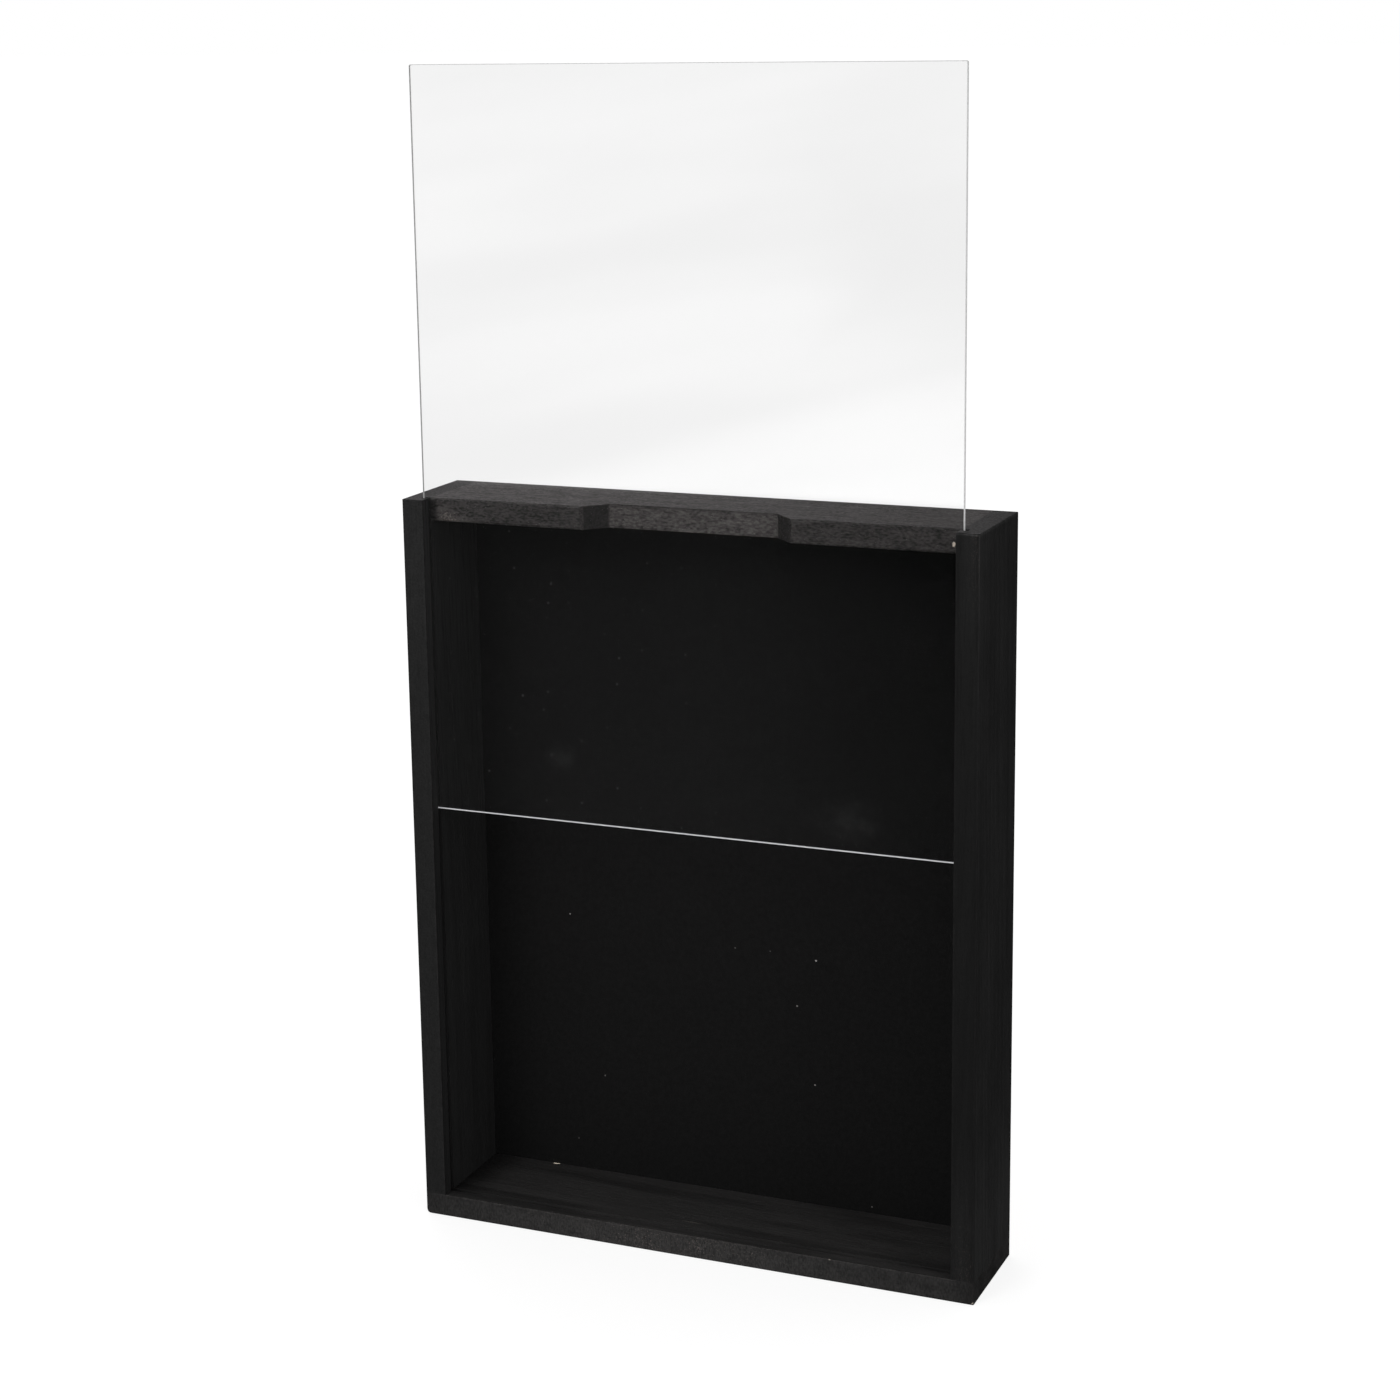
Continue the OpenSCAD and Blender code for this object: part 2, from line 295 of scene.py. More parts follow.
class Dots(Effect):
    """Single soft dots on an upright plane, one to each cell, of which most are faint."""

    name = "dots"
    takes = {"Vector": "Vector", "Cell": "Float", "Size": "Float"}

    @classmethod
    def shape(cls, graph: Graph, given: Sockets) -> Sockets:
        """Marks what is close to the middle of each cell, by a strength that differs from cell to cell."""
        x, _, z = graph.axes(given["Vector"])
        flat = graph.node("CombineXYZ", {"X": x, "Y": z}).outputs[0]
        cells = graph.node("TexVoronoi", {"Vector": flat}, voronoi_dimensions="2D")
        graph.feed(cells.inputs["Scale"], graph.math("DIVIDE", 1.0, given["Cell"]))
        strength = graph.math("POWER", graph.axes(cells.outputs["Color"])[0], 2.0)
        reach = graph.math("DIVIDE", given["Size"], given["Cell"])
        return {"Mask": graph.times(graph.step(cells.outputs["Distance"], reach, 0.0), strength)}


class SoftBox(Effect):
    """A box with soft sides, given by its low and its high corner."""

    name = "soft_box"
    takes = {"Vector": "Vector", "Low": "Vector", "High": "Vector", "Softness": "Float"}

    @classmethod
    def shape(cls, graph: Graph, given: Sockets) -> Sockets:
        """Rises from 0 to 1 across each side, by the least depth below the box's faces."""
        above = graph.vector("SUBTRACT", given["Vector"], given["Low"])
        below = graph.vector("SUBTRACT", given["High"], given["Vector"])
        x, y, z = graph.axes(graph.vector("MINIMUM", above, below))
        depth = graph.math("MINIMUM", graph.math("MINIMUM", x, y), z)
        outside = graph.times(given["Softness"], -1.0)
        return {"Mask": graph.step(depth, outside, given["Softness"])}


class Patch(Effect):
    """One mark at a place, with a soft or a ragged edge."""

    name = "patch"
    takes = {
        "Vector": "Vector", "Centre": "Vector", "Reach": "Vector", "Softness": "Float", "Ragged": "Float",
    }

    GRIT_SCALE = 900.0

    @classmethod
    def shape(cls, graph: Graph, given: Sockets) -> Sockets:
        """Falls from 1 at the centre to 0 at the reach, which a noise makes uneven."""
        offset = graph.vector("SUBTRACT", given["Vector"], given["Centre"])
        distance = graph.length(graph.vector("DIVIDE", offset, given["Reach"]))
        grit = graph.noise(given["Vector"], cls.GRIT_SCALE).outputs[0]
        uneven = graph.times(graph.math("SUBTRACT", grit, 0.5), given["Ragged"])
        inner = graph.math("SUBTRACT", 1.0, given["Softness"])
        return {"Mask": graph.step(graph.math("ADD", distance, uneven), 1.0, inner)}


@dataclass(frozen=True)
class Mark:
    """A chip, a fleck or a smudge at one place on a surface, with its place and reach in millimetres."""

    centre: Triple
    reach: Triple
    softness: float = 0.3
    ragged: float = 1.2
    strength: float = 1.0

    def mask(self, graph: Graph, place: Socket) -> Socket:
        """Gives the mark's strength on it and 0 off it."""
        made = Patch.add(
            graph, vector=place, centre=millimetres(*self.centre), reach=millimetres(*self.reach),
            softness=self.softness, ragged=self.ragged,
        )
        return graph.times(made["Mask"], self.strength)


def front_point(node: str, x: float, z: float) -> Triple:
    """Gives a point on the front of a CAD node, from its place across and up, all in millimetres."""
    return (x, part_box(node)[0].y / MM, z)


def any_mark(graph: Graph, place: Socket, marks: Sequence[Mark]) -> Value:
    """Joins marks into one mask.

    Args:
        graph: The material's tree.
        place: The place on the piece.
        marks: The marks to join.

    Returns:
        The mask, or 0 where there are no marks.
    """
    joined: Value = 0.0
    for mark in marks:
        joined = graph.math("MAXIMUM", joined, mark.mask(graph, place))
    return joined


class Finish:
    """A surface that becomes one material."""

    name: str

    def shader(self, graph: Graph) -> Socket:
        """Adds the finish's nodes and gives its shader."""
        raise NotImplementedError

    def material(self) -> bpy.types.Material:
        """Builds the material."""
        made = bpy.data.materials.new(self.name)
        made.use_nodes = True
        graph = Graph(made.node_tree)
        graph.node("OutputMaterial", {"Surface": self.shader(graph)})
        return made


class GrainRun(Enum):
    """The way that a board's grain runs, as the turn that brings it to X."""

    ALONG_X = (0.0, 0.0, 0.0)
    ALONG_Z = (0.0, math.pi / 2, 0.0)


@dataclass(frozen=True)
class Cut:
    """A stretch of a board, from its low to its high corner: a sawn face where the paint took in another
    way, or painted light or shade.

    The tone is a share of the board's own, the grit tells how strongly the rough wood shows, and the wear
    is the share of the worn arrises that is left.
    """

    low: Triple
    high: Triple
    tone: float = 1.0
    grit: float = 0.0
    softness: float = 0.4 * MM
    wear: float = 1.0

    def mask(self, graph: Graph, place: Socket) -> Socket:
        """Gives 1 on the cut and 0 off it."""
        return SoftBox.add(graph, vector=place, low=self.low, high=self.high, softness=self.softness)["Mask"]


@dataclass(frozen=True)
class BlackWood(Finish):
    """Thin black paint on solid wood: grain shows, sawn edges are gritty, arrises are worn and some marks
    are painted highlights.
    """

    name: str
    node: str
    run: GrainRun
    pith: Triple
    cuts: tuple[Cut, ...]
    tone: float = 1.0
    warmth: float = 0.0
    contrast: float = 1.0
    tilt: float = math.radians(2.0)
    ring_pitch: float = 4.5 * MM
    streaks: float = 0.25
    waves: float = 0.0
    relief: float = 0.7
    grit_stretch: Triple = (1.0, 1.0, 1.0)
    wear_width: float = 1.2 * MM
    wear_share: float = 0.3
    joined: tuple[Triple, Triple] = ((0.0,) * 3, (0.0,) * 3)
    chips: tuple[Mark, ...] = ()
    # Marks where the paint is worn off; on the right board they are painted highlights.
    rubbed_and_lit: tuple[Mark, ...] = ()

    PAINT_DARK = 0.010
    PAINT_LIGHT = 0.020
    STREAK = 0.004
    PORE = grey(0.005)
    SAWN = 0.06
    WORN = 0.045
    BARE = grey(0.32, warmth=0.25)
    CHIPPED = (0.86, 0.75, 0.63, 1.0)
    RUBBED_AND_LIT_GAIN = 1.9
    RELIEF_DEPTH = 0.12 * MM

    def grain(self, graph: Graph, place: Socket) -> Sockets:
        """Lays the grain along the board, with the heart of the tree off to one side of it."""
        turn = Euler(self.run.value)
        turn.rotate(Euler((0.0, 0.0, self.tilt)))
        heart = Vector(self.pith)
        heart.rotate(turn)
        inputs = {"Vector": place, "Location": tuple(-heart), "Rotation": tuple(turn)}
        laid = graph.node("Mapping", inputs).outputs[0]
        return WoodGrain.add(graph, vector=laid, ring_pitch=self.ring_pitch)

    def wear(self, graph: Graph, place: Socket) -> Socket:
        """Finds the board's free edges: a face that another board joins is moved away first."""
        low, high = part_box(self.node)
        low -= Vector(self.joined[0])
        high += Vector(self.joined[1])
        centre, half = tuple((low + high) / 2), tuple((high - low) / 2)
        made = EdgeWear.add(graph, vector=place, centre=centre, half_size=half, width=self.wear_width)
        return made["Mask"]

    def sawn(self, graph: Graph, place: Socket) -> tuple[Value, Value, Value]:
        """Joins the board's cuts, among them the places of painted light and shade.

        Args:
            graph: The material's tree.
            place: The place on the board.

        Returns:
            The factor on the colour, how rough the wood is, and the share of the wear on its arrises.
        """
        tone: Value = 1.0
        rough: Value = 0.0
        wear: Value = self.wear_share
        for cut in self.cuts:
            mask = cut.mask(graph, place)
            tone = graph.times(tone, graph.spread(mask, 1.0, cut.tone))
            rough = graph.math("MAXIMUM", rough, graph.times(mask, cut.grit))
            wear = graph.times(wear, graph.spread(mask, 1.0, cut.wear))
        return tone, rough, wear

    def paint(self, graph: Graph, place: Socket, grain: Sockets, rough: Value) -> Socket:
        """Gives the paint's colour: darker in the late wood and the pores, and plainer on rough wood."""
        light = graph.times(grain["Fibre"], share=0.4)
        light = graph.math("ADD", light, graph.spread(grain["Rings"], 0.3, 0.0))
        light = graph.plus(light, graph.blotches(place, scale=32.0), share=0.3)
        swing = graph.times(graph.spread(graph.step(rough, 0.5, 0.0), 0.3, 1.0), self.contrast)
        light = graph.times(graph.math("SUBTRACT", light, 0.5), swing)
        levels = (self.PAINT_DARK, self.PAINT_LIGHT, self.STREAK)
        dark, pale, streak = (grey(level * self.tone, self.warmth) for level in levels)
        colour = graph.mix(graph.math("ADD", light, 0.5), dark, pale)
        for lines, share in ((grain["Streaks"], self.streaks), (grain["Waves"], self.waves)):
            colour = graph.mix(graph.times(lines, graph.times(swing, share)), colour, streak)
        return graph.mix(graph.times(grain["Pores"], share=0.3), colour, self.PORE)

    def grit(self, graph: Graph, place: Socket, rough: Value, rubbed_and_lit: Value) -> tuple[Socket, Socket]:
        """Gives the salt and pepper of rough wood.

        Args:
            graph: The material's tree.
            place: The place on the board.
            rough: How rough the wood is.
            rubbed_and_lit: The mask of the places where more of the paint is gone, and of painted
                highlights.

        Returns:
            A factor on the paint, and the mask of the bare specks.
        """
        drawn = graph.vector("MULTIPLY", place, self.grit_stretch)
        fine = graph.spread(graph.blotches(drawn, scale=1150.0, levels=(0.28, 0.72)), -0.8, 0.85)
        mottle = graph.spread(graph.blotches(drawn, scale=260.0), -0.3, 0.3)
        pepper = graph.math("ADD", graph.times(graph.math("ADD", fine, mottle), rough), 1.0)
        # Under the mask the paint is lightened: worn paint, and painted highlights where a mark stands for
        # light.
        pepper = graph.times(pepper, graph.spread(rubbed_and_lit, 1.0, self.RUBBED_AND_LIT_GAIN))
        patchy = graph.blotches(place, scale=45.0, detail=2.0)
        cover = graph.times(patchy, graph.times(rough, share=0.5))
        cover = graph.plus(cover, rubbed_and_lit, share=0.9)
        made = Speckle.add(graph, vector=drawn, scale=2550.0, cover=cover, softness=0.16)
        return pepper, graph.times(made["Mask"], graph.step(rough, 0.0, 0.3))

    def shader(self, graph: Graph) -> Socket:
        """Lays paint, grain, specks, wear and chips over each other."""
        place = graph.place()
        grain = self.grain(graph, place)
        tone, rough, worn = self.sawn(graph, place)
        rubbed_and_lit = any_mark(graph, place, self.rubbed_and_lit)
        pepper, specks = self.grit(graph, place, rough, rubbed_and_lit)
        colour = graph.mix(1.0, self.paint(graph, place, grain, rough), pepper, "MULTIPLY")
        sawn = grey(self.SAWN * self.tone, warmth=0.16)
        bare = graph.mix(graph.math("POWER", rubbed_and_lit, 2.0), sawn, self.BARE)
        colour = graph.mix(graph.times(specks, share=0.75), colour, bare)
        colour = graph.mix(1.0, colour, tone, "MULTIPLY")
        wear = graph.times(self.wear(graph, place), worn)
        colour = graph.mix(wear, colour, grey(self.WORN * self.tone, warmth=0.06))
        chips = any_mark(graph, place, self.chips)
        sheen = graph.spread(graph.times(grain["Streaks"], graph.spread(rough, 1.0, 0.1)), 0.62, 0.82)
        sheen = graph.plus(sheen, graph.math("SUBTRACT", 1.0, pepper), share=0.3)
        sunk = graph.math("ADD", grain["Pores"], grain["Streaks"])
        lines = graph.math("SUBTRACT", grain["Fibre"], sunk)
        relief = graph.plus(graph.times(lines, graph.spread(rough, 1.0, 0.2)), pepper, share=0.8)
        relief = graph.math("SUBTRACT", relief, chips)
        return graph.principled({
            "Base Color": graph.mix(chips, colour, self.CHIPPED),
            "Roughness": graph.plus(sheen, specks, share=0.2),
            "Specular IOR Level": 0.25,
            "Normal": graph.bump(relief, self.RELIEF_DEPTH, self.relief),
        })


@dataclass(frozen=True)
class BlackFelt(Finish):
    """Short matted black fibres with a little pale lint on them."""

    name: str = "black_felt"
    lint: tuple[Mark, ...] = ()

    DEEP = grey(0.0024)
    PALE = grey(0.0054)
    STRAY = grey(0.06)
    LINT = grey(0.3, warmth=0.05)

    def shader(self, graph: Graph) -> Socket:
        """Lays clumps, fibres and lint over each other."""
        place = graph.place()
        clumps = graph.noise(place, scale=420.0, detail=3.0).outputs[0]
        fibres = graph.noise(place, scale=2400.0, detail=3.0).outputs[0]
        fuzz = graph.plus(graph.times(clumps, share=0.35), fibres, share=0.65)
        colour = graph.mix(graph.step(fuzz, *MIDWAY), self.DEEP, self.PALE)
        stray = Speckle.add(graph, vector=place, scale=700.0, cover=0.03, softness=0.07)["Mask"]
        colour = graph.mix(graph.times(stray, share=0.3), colour, self.STRAY)
        return graph.principled({
            "Base Color": graph.mix(any_mark(graph, place, self.lint), colour, self.LINT),
            "Roughness": graph.spread(fibres, 0.85, 1.0),
            "Specular IOR Level": 0.1,
            "Sheen Weight": 0.05,
            "Sheen Roughness": 0.5,
            "Normal": graph.bump(fuzz, depth=0.3 * MM, strength=0.6),
        })


@dataclass(frozen=True)
class ClearAcrylic(Finish):
    """Polished clear sheet with dust and a few finger smudges, which glow faintly as painted light under a
    painted reflection veil.
    """

    name: str = "clear_acrylic"
    middle: float = 0.0
    smudges: tuple[Mark, ...] = ()

    CLEAR = grey(0.9)
    IOR = 1.49
    THINNEST = 0.4
    # Painted reflection veil: a faint glow on the whole pane, thinner toward its right.
    PAINTED_VEIL = 0.034
    PAINTED_VEIL_LEFT = 0.0
    PAINTED_VEIL_RIGHT = 140 * MM
    DUST_CELL = 18 * MM
    DUST_SIZE = 0.95 * MM
    DUST_LEFT = -70 * MM
    DUST_RIGHT = 60 * MM

    def shader(self, graph: Graph) -> Socket:
        """Gives clear plastic that lets the lamps through, with dust, smudges and a painted reflection veil
        as a faint glow that only shows over the dark back.
        """
        place = graph.place()
        x, y, _ = graph.axes(place)
        drift = graph.step(x, self.DUST_RIGHT, self.DUST_LEFT)
        size = graph.spread(drift, self.THINNEST * self.DUST_SIZE, self.DUST_SIZE)
        dots = Dots.add(graph, vector=place, cell=self.DUST_CELL, size=size)["Mask"]
        dust = graph.times(dots, graph.math("LESS_THAN", y, self.middle))
        cloud = graph.blotches(place, scale=55.0, levels=(0.35, 0.75))
        smudge = graph.times(any_mark(graph, place, self.smudges), cloud)
        # Painted light: the dust and the smudges glow, and the painted reflection veil is added to their
        # glow.
        dust_and_painted_veil = graph.plus(graph.times(dust, share=0.75), smudge, share=0.18)
        thick = graph.step(x, self.PAINTED_VEIL_RIGHT, self.PAINTED_VEIL_LEFT)
        dust_and_painted_veil = graph.math("ADD", dust_and_painted_veil, graph.spread(thick, self.THINNEST * self.PAINTED_VEIL, self.PAINTED_VEIL))
        glass = graph.principled({
            "Base Color": self.CLEAR,
            "Roughness": graph.spread(smudge, 0.01, 0.08),
            "IOR": self.IOR,
            "Transmission Weight": 1.0,
            "Emission Color": graph.mix(dust_and_painted_veil, grey(0.0), grey(1.0)),
            "Emission Strength": 0.05,
        })
        through = graph.node("BsdfTransparent", {"Color": self.CLEAR}).outputs[0]
        shadow = graph.node("LightPath").outputs["Is Shadow Ray"]
        return graph.node("MixShader", {0: shadow, 1: glass, 2: through}).outputs[0]


@dataclass(frozen=True)
class FrostedEdge(Finish):
    """The sheet's sawn edges, with a painted glow for the light that runs inside it."""

    name: str = "frosted_edge"
    foot: float = 0.0
    foot_reach: float = 2.0 * MM

    # Painted glow of the edges: dim along the sides and bright at the foot.
    DIM = grey(0.12)
    BRIGHT = (0.75, 0.76, 0.8, 1.0)

    def shader(self, graph: Graph) -> Socket:
        """Gives pale matt plastic with fine saw marks and a painted glow, which is brightest at the pane's
        foot.
        """
        place = graph.place()
        marks = graph.drawn(place, stretch=(900.0, 80.0, 900.0), detail=3.0)
        foot_glow = graph.step(graph.axes(place)[2], self.foot + self.foot_reach, self.foot)
        return graph.principled({
            "Base Color": graph.mix(marks, grey(0.3), grey(0.5)),
            "Roughness": graph.spread(marks, 0.4, 0.7),
            "Emission Color": graph.mix(foot_glow, self.DIM, self.BRIGHT),
            "Emission Strength": 0.4,
            "Normal": graph.bump(marks, depth=0.05 * MM, strength=0.5),
        })


@dataclass(frozen=True)
class Hardboard(Finish):
    """Raw brown pressed fibre, with the print of the press screen on its rear."""

    name: str = "hardboard"
    screen_pitch: float = 1.6 * MM

    DARK = (0.19, 0.105, 0.05, 1.0)
    LIGHT = (0.26, 0.155, 0.08, 1.0)
    FIBRE = (0.34, 0.22, 0.125, 1.0)
    FLECK = (0.075, 0.04, 0.02, 1.0)

    def shader(self, graph: Graph) -> Socket:
        """Lays flecks and blotches over the brown, and the screen's print in the relief."""
        place = graph.place()
        colour = graph.mix(graph.blotches(place, scale=38.0, detail=5.0), self.DARK, self.LIGHT)
        fibre = graph.drawn(place, stretch=(900.0, 900.0, 380.0), detail=4.0)
        colour = graph.mix(graph.step(fibre, 0.35, 0.7), colour, self.FIBRE)
        flecks = Speckle.add(graph, vector=place, scale=420.0, cover=0.35, softness=0.07)["Mask"]
        turns = 2 * math.pi / self.screen_pitch
        x, _, z = graph.axes(graph.vector("MULTIPLY", place, (turns,) * 3))
        screen = graph.times(graph.math("SINE", x), graph.math("SINE", z))
        relief = graph.plus(fibre, screen, share=0.35)
        return graph.principled({
            "Base Color": graph.mix(graph.times(flecks, share=0.7), colour, self.FLECK),
            "Roughness": graph.spread(fibre, 0.7, 0.92),
            "Specular IOR Level": 0.3,
            "Normal": graph.bump(relief, depth=0.18 * MM, strength=0.6),
        })


@dataclass(frozen=True)
class ZincSteel(Finish):
    """Bright zinc plate on stamped steel, with rolling lines, dull patches and a few rust freckles."""

    name: str = "zinc_steel"

    BRIGHT = grey(0.62, warmth=0.02)
    DULL = grey(0.4, warmth=0.03)
    ROLLED = grey(0.52, warmth=0.03)
    RUST = (0.16, 0.09, 0.05, 1.0)

    def shader(self, graph: Graph) -> Socket:
        """Lays rolling lines, dull patches and freckles over the plate."""
        place = graph.place()
        lines = graph.drawn(place, stretch=(120.0, 2600.0, 2600.0), detail=3.0)
        dull = graph.blotches(place, scale=240.0, levels=(0.35, 0.7))
        colour = graph.mix(dull, self.BRIGHT, self.DULL)
        colour = graph.mix(graph.step(lines, 0.35, 0.65), colour, self.ROLLED)
        freckles = Speckle.add(graph, vector=place, scale=1500.0, cover=0.2, softness=0.07)["Mask"]
        return graph.principled({
            "Base Color": graph.mix(graph.times(freckles, share=0.5), colour, self.RUST),
            "Metallic": graph.spread(graph.math("MAXIMUM", dull, freckles), 0.6, 0.35),
            "Roughness": graph.plus(graph.spread(dull, 0.26, 0.45), freckles, share=0.3),
            "Normal": graph.bump(lines, depth=0.04 * MM, strength=0.5),
        })


class Rays:
    """Tells the rays that look straight at the studio from those that a gloss has mirrored."""

    def __init__(self, graph: Graph) -> None:
        """Reads the rays of one node tree."""
        path = graph.node("LightPath").outputs
        self.mirrored = graph.math("GREATER_THAN", path["Glossy Depth"], 0.5)
        straight = graph.math("MAXIMUM", path["Is Camera Ray"], path["Is Transmission Ray"])
        self.seen = graph.times(straight, graph.math("SUBTRACT", 1.0, self.mirrored))


@dataclass(frozen=True)
class PaleFloor(Finish):
    """Plain matt white studio floor, lit evenly so that shadows on it stay faint, and not mirrored."""

    name: str = "pale_floor"
    evenness: Pair = (0.7, 0.75)
    glow: float = 1.12
    near: float = 0.5
    far: float = 2.0

    def shader(self, graph: Graph) -> Socket:
        """Gives matt white, mixed with plain white, most of all where it is looked at far off."""
        rays = Rays(graph)
        matt = graph.principled({"Base Color": grey(0.8), "Roughness": 1.0, "Specular IOR Level": 0.0})
        even = graph.node("Emission", {"Color": grey(1.0), "Strength": self.glow}).outputs[0]
        distance = graph.step(graph.length(graph.place()), self.near, self.far)
        share = graph.times(rays.seen, graph.spread(distance, *self.evenness))
        looked_at = graph.node("MixShader", {0: share, 1: matt, 2: even}).outputs[0]
        absent = graph.node("BsdfTransparent").outputs[0]
        return graph.node("MixShader", {0: rays.mirrored, 1: looked_at, 2: absent}).outputs[0]


def dress(node: str, finish: Finish) -> None:
    """Gives a CAD node its finish and reports it."""
    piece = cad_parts[node]
    made = finish.material()
    for slot in piece.material_slots:
        slot.material = made
    LOG.info("%s: dressed in %s", node, finish.name)


def settle(mesh: bmesh.types.BMesh, name: str, finishes: Sequence[Finish]) -> bpy.types.Object:
    """Turns a finished mesh into a piece of the scene.

    Args:
        mesh: The mesh, in its place. It is freed.
        name: The piece's name.
        finishes: Its finishes, in the order of the faces' material numbers.

    Returns:
        The piece, at the origin.
    """
    data = bpy.data.meshes.new(name)
    mesh.to_mesh(data)
    mesh.free()
    for finish in finishes:
        data.materials.append(finish.material())
    piece = bpy.data.objects.new(name, data)
    bpy.context.scene.collection.objects.link(piece)
    LOG.info("%s: %d faces", name, len(data.polygons))
    return piece


